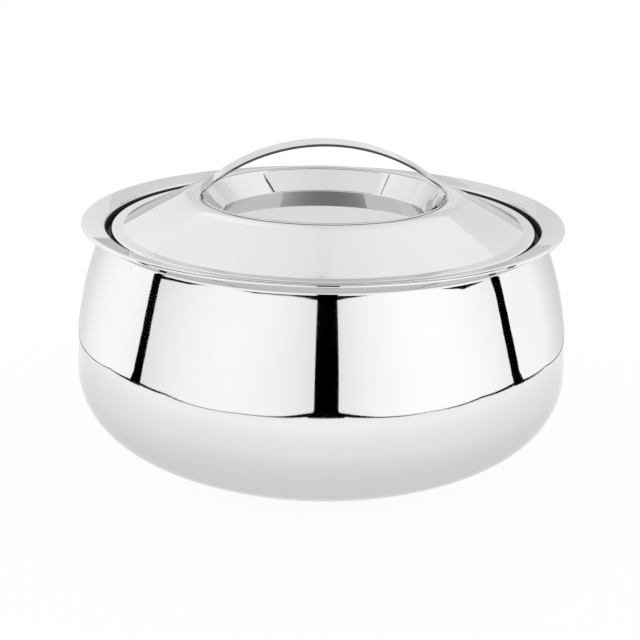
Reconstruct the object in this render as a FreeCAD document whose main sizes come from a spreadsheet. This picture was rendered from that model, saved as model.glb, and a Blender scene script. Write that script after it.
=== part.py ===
import FreeCAD, Part
import math
import os
import Sketcher

# Insulated casserole: a belly-shaped double-wall pot and a drop-in lid with a strap over a round well.
# Lengths are millimetres and angles are degrees. The origin is the middle of the base plane, +Z up.
# The pot's pieces are drawn from the base plane. The lid's pieces are drawn from the plane the lid rests on.

SIZES = {
    # outer shell, from the base up to the rim
    "belly_radius": (119.3, "widest radius of the pot"),
    "shell_sheet": (0.6, "steel thickness of the outer shell"),
    "belly_bend": (32.5, "radius of the tight round below the widest level"),
    "belly_angle": (55.0, "how far that round turns, from upright"),
    "sweep_bend": (95.0, "radius of the flat sweep under the belly"),
    "sweep_angle": (83.0, "slope where the sweep meets the foot"),
    "foot_bend": (8.0, "radius that ends the sweep on the foot"),
    "foot_width": (3.0, "width of the flat ring that the pot stands on"),
    "recess_depth": (1.6, "rise of the recess in the base"),
    "recess_angle": (45.0, "slope of the recess's edge"),
    "recess_bend": (1.5, "radius at both ends of that slope"),
    "shoulder_bend": (159.3, "radius of the long curve above the widest level"),
    "shoulder_angle": (23.8, "how far that curve leans in at the neck"),
    "neck_bend": (1.2, "radius of the hollow of the neck"),
    "flare_angle": (45.0, "slope of the flare above the neck"),
    "flare_run": (5.1, "straight length of the flare"),
    "lip_bend": (1.5, "radius between the flare and its lip"),
    "lip_run": (3.05, "straight length of the lip, to the middle of the hem"),
    # rim, flange and food bowl
    "bowl_sheet": (0.6, "steel thickness of the food bowl"),
    "hem_gap": (0.05, "room between the folded sheets of the hem"),
    "hem_return": (1.2, "how far the hem reaches back under the flare"),
    "flange_angle": (14.4, "slope of the flange, up towards the rim"),
    "flange_width": (9.85, "from the middle of the hem in to the upright wall of the mouth"),
    "mouth_bend": (1.2, "round between the flange and that wall"),
    "seat_drop": (8.75, "depth of the lid's seat below the rim"),
    "seat_bend": (0.8, "radius at both edges of the seat"),
    "seat_width": (5.7, "from the mouth's wall in to the bowl's wall"),
    "draft_angle": (1.5, "lean of the bowl's wall"),
    "bowl_corner": (26.0, "radius at the bottom of the bowl"),
    "bowl_floor": (15.3, "height of the bowl's floor above the base plane"),
    # fillings and closures
    "foam_gap": (0.2, "room between the foam and the steel"),
    "base_hole_radius": (6.0, "hole in the base that the foam is filled through"),
    "plug_gap": (0.1, "room round a plug's neck"),
    "plug_lip": (1.6, "how far a plug's lip reaches past its hole"),
    "plug_lip_height": (2.0, "height of a plug's lip"),
    "disc_sheet": (0.6, "thickness of the base disc"),
    "disc_gap": (0.05, "room between the base disc and the recess"),
    "disc_inset": (0.6, "room round the base disc"),
    # lid
    "seat_gap": (0.1, "room under the lid where it rests"),
    "lid_clearance": (2.4, "groove between the lid and the mouth"),
    "cover_sheet": (0.6, "steel thickness of the lid's cover"),
    "skirt_height": (5.2, "height of the lid's upright edge"),
    "skirt_bend": (1.0, "radius at the foot of that edge"),
    "skirt_return": (3.0, "how far the cover folds in under the liner"),
    "shelf_bend": (1.5, "radius at the top of that edge"),
    "shelf_width": (5.6, "flat ring between the edge and the cone"),
    "cone_foot_bend": (1.5, "radius between that ring and the cone"),
    "cone_angle": (25.0, "slope of the lid's cone"),
    "ridge_bend": (16.0, "radius over the ridge of the lid"),
    "cone_run": (33.8, "from the foot of the cone in to the top of the ridge"),
    "ridge_fall_angle": (12.0, "slope at which the ridge drops to the well"),
    "well_edge_bend": (1.2, "radius at the edge of the well"),
    "well_angle": (50.7, "slope of the well's wall"),
    "well_depth": (10.55, "depth of the well below the ridge"),
    "well_floor_bend": (1.0, "radius between the well's wall and its floor"),
    "liner_sheet": (0.5, "steel thickness of the liner"),
    "liner_clearance": (1.5, "room between the liner and the bowl"),
    "liner_depth": (9.0, "how far the liner reaches below the seat"),
    "liner_flange_bend": (1.2, "radius under the liner's flange"),
    "liner_corner": (6.0, "radius at the bottom of the liner"),
    "liner_hole_radius": (5.0, "hole in the liner that the foam is filled through"),
    "liner_plug_head": (3.0, "how far the liner plug's head reaches past its hole"),
    "liner_plug_rise": (1.2, "thickness of the liner plug's head"),
    # handle
    "strap_width": (15.6, "width of the handle's strap"),
    "strap_sheet": (1.25, "thickness of the strap"),
    "strap_rise": (24.65, "height of the strap above the ridge"),
    "strap_lift": (1.2, "height of the end bends' centres above the ridge"),
    "strap_bend": (1.6, "radius of the strap's end bends"),
    "strap_foot_lift": (1.9, "height of the strap's feet above the well's floor"),
    "strap_foot_round": (5.0, "rounding of the feet's corners"),
    "weld_gap": (0.05, "room between the strap's feet and the well's wall"),
}

# A right angle, the distance below which two lengths are one, and the names of the two lists of values.
FLAT = 90.0
SAME_POINT = 1e-6
SHEET_NAME = "Sizes"
PLACES_NAME = "Places"


class Size:
    """A number together with the expression that ties it to the sheet of sizes."""

    def __init__(self, number, text):
        self.number = number
        self.text = text

    def __add__(self, other):
        other = sized(other)
        return Size(self.number + other.number, f"({self.text} + {other.text})")

    def __sub__(self, other):
        other = sized(other)
        return Size(self.number - other.number, f"({self.text} - {other.text})")

    def __mul__(self, other):
        other = sized(other)
        return Size(self.number * other.number, f"({self.text} * {other.text})")

    def __truediv__(self, other):
        other = sized(other)
        return Size(self.number / other.number, f"({self.text} / {other.text})")

    def __neg__(self):
        return Size(-self.number, f"(-1 * {self.text})")


def sized(value):
    """A plain number as a Size, and a Size as it is."""
    return value if isinstance(value, Size) else Size(float(value), f"({value})")


def cosine(angle):
    return Size(math.cos(math.radians(angle.number)), f"cos({angle.text})")


def sine(angle):
    return Size(math.sin(math.radians(angle.number)), f"sin({angle.text})")


def aim(angle):
    """The unit direction at an angle from +X towards +Z."""
    return cosine(angle), sine(angle)


def along(start, direction, length):
    """The point a length away from a start point in a direction."""
    return start[0] + direction[0] * length, start[1] + direction[1] * length


def dot(first, second):
    return first[0] * second[0] + first[1] * second[1]


def opposite(direction):
    return -direction[0], -direction[1]


def make_sheet(doc):
    """The spreadsheet of driving sizes, and the same sizes as Size values by name."""
    sheet = doc.addObject("Spreadsheet::Sheet", SHEET_NAME)
    sizes = {}
    for row, (name, (number, note)) in enumerate(SIZES.items(), start=1):
        sheet.set(f"A{row}", name)
        sheet.set(f"B{row}", str(number))
        sheet.set(f"C{row}", note)
        sheet.setAlias(f"B{row}", name)
        sizes[name] = Size(number, f"{SHEET_NAME}.{name}")
    doc.recompute()
    return sizes


class Places:
    """Derived places, kept in the document as a set of variables worked out from the sheet."""

    def __init__(self, doc):
        self.holder = doc.addObject("App::VarSet", PLACES_NAME)

    def keep(self, name, size):
        """Store a derived number under a name, and give back a Size that refers to it."""
        self.holder.addProperty("App::PropertyFloat", name, PLACES_NAME)
        self.holder.setExpression(name, size.text)
        return Size(size.number, f"{PLACES_NAME}.{name}")

    def keep_point(self, name, point):
        return self.keep(name + "_x", point[0]), self.keep(name + "_z", point[1])


class Bend:
    """One bend of a steel sheet, seen in section.

    The sheet's face is at centre + radius * normal, as the normal turns from start to end. The radius is
    negative where the centre lies on the face's own side, and zero at the sheet's free edge.
    """

    def __init__(self, centre, radius, start, end):
        self.centre = centre
        self.radius = sized(radius)
        self.start = start
        self.end = end


def edge(point, normal):
    """The free edge of a sheet."""
    return Bend(point, 0.0, normal, normal)


def corner(point, arc=None):
    """A corner of an outline, and the arc that leaves it, if the next edge isn't straight."""
    return point, arc


def face(bends, depth, backwards=False, crisp=()):
    """The corners of the surface that lies a depth below the face of a bent sheet.

    The bends numbered in crisp are drawn as plain corners, where the straight runs beside them would meet.
    """
    numbered = list(enumerate(bends))
    corners = []
    for number, bend in reversed(numbered) if backwards else numbered:
        radius = bend.radius - depth
        first, last = (bend.end, bend.start) if backwards else (bend.start, bend.end)
        if number in crisp:
            stretch = sized(1.0) + dot(first, last)
            reach = radius / stretch
            corners.append(corner(along(along(bend.centre, first, reach), last, reach)))
            continue
        start = along(bend.centre, first, radius)
        if bend.start is bend.end:
            corners.append(corner(start))
            continue
        turn = first[0].number * last[1].number - first[1].number * last[0].number
        arc = (radius if radius.number > 0 else -radius, bend.centre, turn > 0)
        corners.append(corner(start, arc))
        corners.append(corner(along(bend.centre, last, radius)))
    return corners


def sheet_outline(bends, thickness):
    """The closed section of a bent sheet."""
    return face(bends, sized(0.0)) + face(bends, thickness, backwards=True)


def arc_geometry(start, end, arc):
    """A circular arc from start to end, and which of its ends is the start."""
    radius, centre, leftwards = arc
    middle = FreeCAD.Vector(centre[0].number, centre[1].number, 0)
    angles = [math.atan2(p[1].number - middle.y, p[0].number - middle.x) for p in (start, end)]
    if not leftwards:
        angles.reverse()
    if angles[1] < angles[0]:
        angles[1] += math.tau
    circle = Part.Circle(middle, FreeCAD.Vector(0, 0, 1), radius.number)
    return Part.ArcOfCircle(circle, *angles), 1 if leftwards else 2


def apart(first, second):
    """Whether two points are far enough apart to hold an edge between them."""
    return math.hypot(first[0].number - second[0].number, first[1].number - second[1].number) > SAME_POINT


def without_empty_runs(outline):
    """The outline without the straight runs of no length, which lie where one bend follows another."""
    following = outline[1:] + outline[:1]
    return [here for here, after in zip(outline, following) if here[1] or apart(here[0], after[0])]


def draw(sketch, outline):
    """Draw a closed outline in a sketch, with each corner and radius bound to its expression."""
    outline = without_empty_runs(outline)
    start_ends = []
    bound = []
    for index, (point, arc) in enumerate(outline):
        following = outline[(index + 1) % len(outline)][0]
        if arc:
            shape, start_end = arc_geometry(point, following, arc)
        else:
            ends = [FreeCAD.Vector(p[0].number, p[1].number, 0) for p in (point, following)]
            shape = Part.LineSegment(*ends)
            start_end = 1
        sketch.addGeometry(shape, False)
        start_ends.append(start_end)
        if arc:
            bound.append((sketch.addConstraint(Sketcher.Constraint("Radius", index, arc[0].number)), arc[0]))
    for index, (point, arc) in enumerate(outline):
        following = (index + 1) % len(outline)
        joined = (index, 3 - start_ends[index], following, start_ends[following])
        sketch.addConstraint(Sketcher.Constraint("Coincident", *joined))
        for kind, axis, place in (("DistanceX", -2, point[0]), ("DistanceY", -1, point[1])):
            held = (index, start_ends[index])
            if place.number == 0:
                sketch.addConstraint(Sketcher.Constraint("PointOnObject", *held, axis))
                continue
            constraint = Sketcher.Constraint(kind, -1, 1, *held, place.number)
            bound.append((sketch.addConstraint(constraint), place))
    for number, size in bound:
        sketch.setExpression(f"Constraints[{number}]", size.text)


def make_body(doc, name, level=None):
    """An empty body, raised to the level that its piece is drawn from."""
    body = doc.addObject("PartDesign::Body", name)
    body.Label = name
    if level:
        body.setExpression("Placement.Base.z", level.text)
    return body


def upright_sketch(body, name, outline):
    """A sketch on the body's own XZ plane."""
    sketch = body.newObject("Sketcher::SketchObject", name)
    plane = next(item for item in body.Origin.OriginFeatures if item.Role == "XZ_Plane")
    sketch.AttachmentSupport = (plane, [""])
    sketch.MapMode = "FlatFace"
    draw(sketch, outline)
    return sketch


def make_round(doc, name, outline, level=None):
    """A body turned from one outline about the pot's axis."""
    body = make_body(doc, name, level)
    sketch = upright_sketch(body, name + "_section", outline)
    turned = body.newObject("PartDesign::Revolution", name + "_turned")
    turned.Profile = sketch
    turned.ReferenceAxis = (sketch, ["V_Axis"])
    turned.Angle = 360
    body.Tip = turned
    return body


def shared_line_offset(first, second, normal, reach):
    """The missing coordinate of a bend's centre, so that a straight run joins two bends.

    Both bends touch the run where their normals are the same, so the centres' distance along that normal is
    the first radius less the second. The reach is the known distance between the centres along X.
    """
    return (first - second - reach * normal[0]) / normal[1]


def shell_bends(size, places):
    """The outer shell in section, from its filling hole out along the base and up to the flare's lip."""
    down = aim(sized(-FLAT))
    level = aim(sized(0.0))
    sweep_end = aim(-size["sweep_angle"])
    belly_end = aim(-size["belly_angle"])
    shoulder_end = aim(size["shoulder_angle"])
    flare = aim(-size["flare_angle"])
    lip = aim(size["flange_angle"] - FLAT)
    recess_step = aim(-(size["recess_angle"] + FLAT))

    belly_level = places.keep("belly_level", size["foot_bend"]
                              + (size["sweep_bend"] - size["foot_bend"]) * sine(size["sweep_angle"])
                              - (size["sweep_bend"] - size["belly_bend"]) * sine(size["belly_angle"]))
    belly = places.keep_point("belly", (size["belly_radius"] - size["belly_bend"], belly_level))
    sweep = places.keep_point("sweep", along(belly, belly_end, size["belly_bend"] - size["sweep_bend"]))
    foot = places.keep_point("foot", along(sweep, sweep_end, size["sweep_bend"] - size["foot_bend"]))
    foot_inner = places.keep("foot_inner", foot[0] - size["foot_width"])
    step_run = (size["recess_bend"] * 2 * (sized(1.0) - cosine(size["recess_angle"]))
                + size["recess_depth"] * cosine(size["recess_angle"])) / sine(size["recess_angle"])
    recess_radius = places.keep("recess_radius", foot_inner - step_run)
    recess = (recess_radius, size["recess_depth"] - size["recess_bend"])
    shoulder = places.keep_point("shoulder", (size["belly_radius"] - size["shoulder_bend"], belly_level))
    neck_reach = size["shoulder_bend"] + size["neck_bend"]
    neck = places.keep_point("neck", along(shoulder, shoulder_end, neck_reach))
    flare_way = (cosine(size["flare_angle"]), sine(size["flare_angle"]))
    flare_end = along(along(neck, flare, -size["neck_bend"]), flare_way, size["flare_run"])
    lip_centre = places.keep_point("lip", along(flare_end, flare, size["lip_bend"]))
    lip_start = along(lip_centre, lip, -size["lip_bend"])

    # The hem folds round the lip, so its round is as deep as two sheets of the bowl and one of the shell.
    hem_bend = places.keep("hem_bend", size["bowl_sheet"] + size["hem_gap"] + size["shell_sheet"] * 0.5)
    lip_middle = along(lip_start, lip, -(size["shell_sheet"] * 0.5))
    lip_way = aim(size["flange_angle"])
    hem = places.keep_point("hem", along(lip_middle, lip_way, size["lip_run"]))
    lip_edge = along(hem, lip, size["shell_sheet"] * 0.5)
    lip_edge = places.keep_point("lip_edge", along(lip_edge, lip_way, -size["hem_gap"]))

    return [
        edge((size["base_hole_radius"], size["recess_depth"]), down),
        Bend(recess, -size["recess_bend"], down, recess_step),
        Bend((foot_inner, size["recess_bend"]), size["recess_bend"], recess_step, down),
        Bend(foot, size["foot_bend"], down, sweep_end),
        Bend(sweep, size["sweep_bend"], sweep_end, belly_end),
        Bend(belly, size["belly_bend"], belly_end, level),
        Bend(shoulder, size["shoulder_bend"], level, shoulder_end),
        Bend(neck, -size["neck_bend"], shoulder_end, flare),
        Bend(lip_centre, -size["lip_bend"], flare, lip),
        edge(lip_edge, lip),
    ], hem, hem_bend, recess_radius


def bowl_bends(size, places, hem, hem_bend, mouth_radius, bowl_radius, seat_level):
    """The food bowl in section, from the hem's inner edge over the flange and down to the bowl's middle."""
    under = aim(size["flange_angle"] - FLAT)
    flange = aim(size["flange_angle"] + FLAT)
    inward = aim(sized(2 * FLAT))
    up = aim(sized(FLAT))
    wall = aim(sized(2 * FLAT) - size["draft_angle"])
    flange_way = aim(size["flange_angle"])

    hem_start = along(along(hem, under, hem_bend), flange_way, -size["hem_return"])
    mouth_x = mouth_radius + size["mouth_bend"]
    mouth_rise = shared_line_offset(hem_bend, size["mouth_bend"], flange, mouth_x - hem[0])
    mouth = places.keep_point("mouth", (mouth_x, hem[1] + mouth_rise))
    seat = (mouth_radius - size["seat_bend"], seat_level + size["seat_bend"])
    ledge = places.keep_point("ledge", (bowl_radius + size["seat_bend"], seat_level - size["seat_bend"]))
    corner_level = size["bowl_floor"] + size["bowl_corner"]
    corner_reach = (size["seat_bend"] + size["bowl_corner"] - (corner_level - ledge[1]) * wall[1]) / wall[0]
    bowl_corner = places.keep_point("bowl_corner", (ledge[0] + corner_reach, corner_level))

    return [
        edge(hem_start, under),
        Bend(hem, hem_bend, under, flange_way),
        Bend(hem, hem_bend, flange_way, flange),
        Bend(mouth, size["mouth_bend"], flange, inward),
        Bend(seat, -size["seat_bend"], inward, up),
        Bend(ledge, size["seat_bend"], up, wall),
        Bend(bowl_corner, -size["bowl_corner"], wall, up),
        edge((sized(0.0), size["bowl_floor"]), up),
    ]


def cover_bends(size, places, lid_radius):
    """The lid's cover in section, from its fold under the liner over the ridge to the well's middle."""
    down = aim(sized(-FLAT))
    outward = aim(sized(0.0))
    up = aim(sized(FLAT))
    cone = aim(sized(FLAT) - size["cone_angle"])
    fall = aim(sized(FLAT) + size["ridge_fall_angle"])
    wall = aim(sized(FLAT) + size["well_angle"])

    shelf = size["skirt_height"]
    foot_radius = lid_radius - size["shelf_width"]
    ridge_radius = places.keep("ridge_radius", foot_radius - size["cone_run"])
    cone_foot = places.keep_point("cone_foot", (foot_radius, shelf + size["cone_foot_bend"]))
    ridge_rise = shared_line_offset(-size["cone_foot_bend"], size["ridge_bend"], cone, -size["cone_run"])
    ridge = (ridge_radius, places.keep("ridge_z", cone_foot[1] + ridge_rise))
    ridge_top = places.keep("ridge_top", ridge[1] + size["ridge_bend"])
    well_edge_reach = size["ridge_bend"] - size["well_edge_bend"]
    well_edge = places.keep_point("well_edge", along(ridge, fall, well_edge_reach))
    floor = places.keep("well_floor", ridge_top - size["well_depth"])
    floor_bend_level = floor + size["well_floor_bend"]
    floor_reach = (size["well_edge_bend"] + size["well_floor_bend"]
                   - (floor_bend_level - well_edge[1]) * wall[1]) / wall[0]
    floor_bend = places.keep_point("well_corner", (well_edge[0] + floor_reach, floor_bend_level))

    bends = [
        edge((lid_radius - size["skirt_return"], sized(0.0)), down),
        Bend((lid_radius - size["skirt_bend"], size["skirt_bend"]), size["skirt_bend"], down, outward),
        Bend((lid_radius - size["shelf_bend"], shelf - size["shelf_bend"]), size["shelf_bend"], outward, up),
        Bend(cone_foot, -size["cone_foot_bend"], up, cone),
        Bend(ridge, size["ridge_bend"], cone, fall),
        Bend(well_edge, size["well_edge_bend"], fall, wall),
        Bend(floor_bend, -size["well_floor_bend"], wall, up),
        edge((sized(0.0), floor), up),
    ]
    return bends, ridge_top, floor


def liner_bends(size, places, lid_radius, bowl_radius):
    """The lid's liner in section, from its flange down and in to its filling hole."""
    down = aim(sized(-FLAT))
    outward = aim(sized(0.0))
    flange = size["cover_sheet"] + size["hem_gap"]
    wall_radius = places.keep("liner_radius", bowl_radius - size["liner_clearance"])
    bottom = places.keep("liner_bottom", -(size["liner_depth"] + size["seat_gap"]))
    return [
        edge((lid_radius - size["skirt_bend"], flange), down),
        Bend((wall_radius + size["liner_flange_bend"], flange - size["liner_flange_bend"]),
             -size["liner_flange_bend"], down, outward),
        Bend((wall_radius - size["liner_corner"], bottom + size["liner_corner"]),
             size["liner_corner"], outward, down),
        edge((size["liner_hole_radius"], bottom), down),
    ], flange, bottom


def plug_pocket(size, hole_radius, level):
    """The foam's corners round a plug's lip, from the pot's axis out."""
    radius = hole_radius + size["plug_lip"] + size["foam_gap"]
    top = level + size["plug_lip_height"] + size["foam_gap"]
    return [corner((sized(0.0), top)), corner((radius, top))], radius


def bowl_foam_outline(size, shell, bowl):
    """The foam between shell and bowl: it ends below the neck, where the walls close up."""
    shell_depth = size["shell_sheet"] + size["foam_gap"]
    bowl_depth = size["bowl_sheet"] + size["foam_gap"]
    floor = size["recess_depth"] + size["shell_sheet"]
    pocket, radius = plug_pocket(size, size["base_hole_radius"], floor)
    return (pocket + [corner((radius, size["recess_depth"] + shell_depth))]
            + face(shell[1:7], shell_depth, crisp=(0, 1)) + face(bowl[4:], bowl_depth, crisp=(0, 1)))


def lid_foam_outline(size, lid_radius, cover, liner, flange, bottom):
    """The foam between cover and liner, from the skirt in to the axis and back along the liner."""
    cover_depth = size["cover_sheet"] + size["foam_gap"]
    liner_depth = size["liner_sheet"] + size["foam_gap"]
    outer = corner((lid_radius - cover_depth, flange + liner_depth))
    pocket, radius = plug_pocket(size, size["liner_hole_radius"], bottom + size["liner_sheet"])
    return ([outer] + face(cover[2:], cover_depth, crisp=(1, 3, 4))
            + pocket + [corner((radius, bottom + liner_depth))]
            + face(liner[1:3], liner_depth, backwards=True, crisp=(0,)))


def plug_outline(size, hole_radius, hole_bottom, hole_top, head=None):
    """A plug that fills a hole: a neck through the sheet, a lip above it and perhaps a head below it.

    The head is given as its radius and the level of its lower face. A plug without one ends flush.
    """
    neck = hole_radius - size["plug_gap"]
    lip = hole_radius + size["plug_lip"]
    over = hole_top + size["plug_gap"]
    top = hole_top + size["plug_lip_height"]
    below = [corner((sized(0.0), hole_bottom)), corner((neck, hole_bottom))]
    if head:
        head_radius, head_bottom = head
        under = hole_bottom - size["plug_gap"]
        below = [corner((sized(0.0), head_bottom)), corner((head_radius, head_bottom)),
                 corner((head_radius, under)), corner((neck, under))]
    return below + [corner((neck, over)), corner((lip, over)), corner((lip, top)), corner((sized(0.0), top))]


def strap_bends(size, places, cover, ridge_top, floor):
    """The handle's strap in section: foot, end bend, arch, end bend, foot."""
    well_edge = cover[5]
    wall = well_edge.end
    wall_line = dot(well_edge.centre, wall) + size["well_edge_bend"]
    foot_line = places.keep("foot_line", wall_line + size["weld_gap"])
    bend_level = ridge_top + size["strap_lift"]
    bend_reach = (foot_line + size["strap_bend"] - bend_level * wall[1]) / wall[0]
    bend = places.keep_point("strap_bend_centre", (bend_reach, bend_level))

    # The arch touches both end bends and the top of the handle, which leaves one radius for it.
    rise = places.keep("arch_rise", size["strap_rise"] - size["strap_lift"])
    spread = bend[0] * bend[0] + rise * rise - size["strap_bend"] * size["strap_bend"]
    arch = places.keep("arch_radius", spread / ((rise - size["strap_bend"]) * 2))
    arch_centre = (sized(0.0), places.keep("arch_level", ridge_top + size["strap_rise"] - arch))
    reach = arch - size["strap_bend"]
    arch_end = ((bend[0] - arch_centre[0]) / reach, (bend[1] - arch_centre[1]) / reach)
    foot = opposite(wall)
    tip_level = floor + size["strap_foot_lift"]
    tip = places.keep_point("strap_tip", ((foot_line - tip_level * wall[1]) / wall[0], tip_level))

    def mirrored(pair):
        return -pair[0], pair[1]

    return [
        edge(tip, foot),
        Bend(bend, size["strap_bend"], foot, arch_end),
        Bend(arch_centre, arch, arch_end, mirrored(arch_end)),
        Bend(mirrored(bend), size["strap_bend"], mirrored(arch_end), mirrored(foot)),
        edge(mirrored(tip), mirrored(foot)),
    ], foot_line


def round_feet(body, pad, size):
    """Round the corners of the strap's feet, which are the straight edges as long as the strap is thick."""
    corners = []
    for number, side in enumerate(pad.Shape.Edges, start=1):
        through = abs(side.Length - size["strap_sheet"].number) < SAME_POINT
        if through and isinstance(side.Curve, Part.Line):
            corners.append(f"Edge{number}")
    rounded = body.newObject("PartDesign::Fillet", body.Name + "_feet")
    rounded.Base = (pad, corners)
    rounded.setExpression("Radius", size["strap_foot_round"].text)
    body.Tip = rounded
    return rounded


def make_strap(doc, size, places, cover, ridge_top, floor, level):
    """The handle: a flat strap, padded from its side outline, with its feet cut to the round wall."""
    bends, foot_line = strap_bends(size, places, cover, ridge_top, floor)
    body = make_body(doc, "lid_handle", level)
    outline = sheet_outline(bends, size["strap_sheet"])
    sketch = upright_sketch(body, "lid_handle_side", outline)
    pad = body.newObject("PartDesign::Pad", "lid_handle_strap")
    pad.Profile = sketch
    pad.setExpression("Length", size["strap_width"].text)
    pad.Midplane = True
    body.Tip = pad
    doc.recompute()
    rounded = round_feet(body, pad, size)
    doc.recompute()

    wall = cover[5].end
    top_level = places.keep("foot_cut_top", ridge_top + size["weld_gap"])
    outer = cover[4].centre[0] + size["strap_width"]

    def on_wall(height):
        return (foot_line - height * wall[1]) / wall[0], height

    cut_outline = [corner(on_wall(floor)), corner((outer, floor)), corner((outer, top_level)),
                   corner(on_wall(top_level))]
    cut_sketch = upright_sketch(body, "lid_handle_wall", cut_outline)
    cut = body.newObject("PartDesign::Groove", "lid_handle_fit")
    cut.Profile = cut_sketch
    cut.ReferenceAxis = (cut_sketch, ["V_Axis"])
    cut.Angle = 360
    body.Tip = cut
    doc.recompute()
    if not cut.Shape.Volume < rounded.Shape.Volume:
        raise RuntimeError("the cut along the well's wall took nothing off the feet")
    return body


def make_pot(doc, size, places):
    """The pot's five pieces, and what the lid is fitted to: the mouth, the bowl and the seat's level."""
    shell, hem, hem_bend, recess_radius = shell_bends(size, places)
    seat_level = places.keep("seat_level", hem[1] + hem_bend - size["seat_drop"])
    mouth_radius = places.keep("mouth_radius", hem[0] - size["flange_width"])
    bowl_radius = places.keep("bowl_radius", mouth_radius - size["seat_width"])
    bowl = bowl_bends(size, places, hem, hem_bend, mouth_radius, bowl_radius, seat_level)

    disc_top = size["recess_depth"] - size["disc_gap"]
    disc_radius = recess_radius - size["disc_inset"]
    disc_bottom = disc_top - size["disc_sheet"]
    disc = [corner((sized(0.0), disc_bottom)), corner((disc_radius, disc_bottom)),
            corner((disc_radius, disc_top)), corner((sized(0.0), disc_top))]
    plug = plug_outline(size, size["base_hole_radius"], size["recess_depth"],
                        size["recess_depth"] + size["shell_sheet"])
    return [
        make_round(doc, "outer_shell", sheet_outline(shell, size["shell_sheet"])),
        make_round(doc, "inner_bowl", sheet_outline(bowl, size["bowl_sheet"])),
        make_round(doc, "bowl_insulation", bowl_foam_outline(size, shell, bowl)),
        make_round(doc, "base_disc", disc),
        make_round(doc, "base_fill_plug", plug),
    ], mouth_radius, bowl_radius, seat_level


def make_lid(doc, size, places, mouth_radius, bowl_radius, seat_level):
    """The lid's five pieces, drawn from the plane that the lid rests on."""
    level = places.keep("lid_level", seat_level + size["seat_gap"])
    lid_radius = places.keep("lid_radius", mouth_radius - size["lid_clearance"])
    cover, ridge_top, floor = cover_bends(size, places, lid_radius)
    liner, flange, bottom = liner_bends(size, places, lid_radius, bowl_radius)
    head_radius = size["liner_hole_radius"] + size["liner_plug_head"]
    head_bottom = bottom - size["plug_gap"] - size["liner_plug_rise"]
    plug = plug_outline(size, size["liner_hole_radius"], bottom, bottom + size["liner_sheet"],
                        (head_radius, head_bottom))
    foam = lid_foam_outline(size, lid_radius, cover, liner, flange, bottom)
    return [
        make_round(doc, "lid_cover", sheet_outline(cover, size["cover_sheet"]), level),
        make_round(doc, "lid_liner", sheet_outline(liner, size["liner_sheet"]), level),
        make_round(doc, "lid_insulation", foam, level),
        make_round(doc, "lid_fill_plug", plug, level),
        make_strap(doc, size, places, cover, ridge_top, floor, level),
    ]


def check(doc, bodies):
    """Stop if anything in the document failed, or a piece isn't one sound solid."""
    for item in doc.Objects:
        if "Invalid" in item.State or "Error" in item.State:
            raise RuntimeError(f"{item.Name} failed: {item.State}")
    for body in bodies:
        if body.Shape.isNull() or not body.Shape.isValid() or len(body.Shape.Solids) != 1:
            raise RuntimeError(f"{body.Label} is not one sound solid")


def main():
    doc = FreeCAD.newDocument("casserole")
    size = make_sheet(doc)
    places = Places(doc)
    pot, *seating = make_pot(doc, size, places)
    lid = make_lid(doc, size, places, *seating)
    doc.recompute()
    check(doc, pot + lid)
    os.makedirs("parts", exist_ok=True)
    for body in pot + lid:
        body.Shape.exportStep(f"parts/{body.Label}.step")


main()
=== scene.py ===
"""Insulated casserole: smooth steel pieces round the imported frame, laid out as an add-on, run as a script."""

import math

import bpy
import numpy as np
from mathutils import Matrix


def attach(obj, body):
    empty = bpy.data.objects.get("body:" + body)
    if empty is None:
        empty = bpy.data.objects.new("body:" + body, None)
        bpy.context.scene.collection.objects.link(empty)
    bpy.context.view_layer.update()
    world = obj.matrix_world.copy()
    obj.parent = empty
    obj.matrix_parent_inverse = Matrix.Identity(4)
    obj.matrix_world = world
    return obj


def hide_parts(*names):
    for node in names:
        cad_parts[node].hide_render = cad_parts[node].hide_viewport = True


bl_info = {
    "name": "Insulated casserole",
    "version": (1, 0, 0),
    "blender": (4, 5, 0),
    "location": "3D View > Sidebar > Casserole",
    "description": "Builds a double-wall steel casserole, its drop-in lid with a strap handle, and a studio",
    "category": "Object",
}

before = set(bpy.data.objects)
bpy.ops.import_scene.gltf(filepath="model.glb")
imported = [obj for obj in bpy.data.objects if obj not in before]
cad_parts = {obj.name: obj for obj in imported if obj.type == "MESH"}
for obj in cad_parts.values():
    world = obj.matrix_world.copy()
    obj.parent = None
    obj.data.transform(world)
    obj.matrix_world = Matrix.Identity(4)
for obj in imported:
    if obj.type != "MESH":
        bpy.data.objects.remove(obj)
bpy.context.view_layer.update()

MM = 0.001
# Directions in a section, as angles: down, away from the axis, up, and towards the axis.
DOWN, OUT, UP, IN = -math.pi / 2, 0.0, math.pi / 2, math.pi


# Properties ---------------------------

def linear(code):
    """A colour written as sRGB hex, turned to the linear values that a shader takes."""
    parts = [int(code[i:i + 2], 16) / 255 for i in (0, 2, 4)]
    return [c / 12.92 if c <= 0.04045 else ((c + 0.055) / 1.055) ** 2.4 for c in parts]


def length(value, text, name=""):
    """A length property, its default written in millimetres."""
    return bpy.props.FloatProperty(name=name, description=text, default=value * MM, min=0.0, precision=5,
                                   unit="LENGTH")


def angle(value, text, name=""):
    """An angle property, its default written in degrees."""
    return bpy.props.FloatProperty(name=name, description=text, default=math.radians(value), subtype="ANGLE")


def colour(code, text, name=""):
    """A colour property, its default written as sRGB hex."""
    return bpy.props.FloatVectorProperty(name=name, description=text, default=linear(code), size=3,
                                         min=0.0, max=1.0, subtype="COLOR")


def level(value, text, name=""):
    """A plain factor property, such as a brightness or a roughness."""
    return bpy.props.FloatProperty(name=name, description=text, default=value, min=0.0, subtype="FACTOR")


def titled(group):
    """Names each property of a group that has no name yet after its identifier."""
    for key, entry in group.__annotations__.items():
        entry.keywords["name"] = entry.keywords["name"] or key.replace("_", " ").capitalize()
    return group


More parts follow.
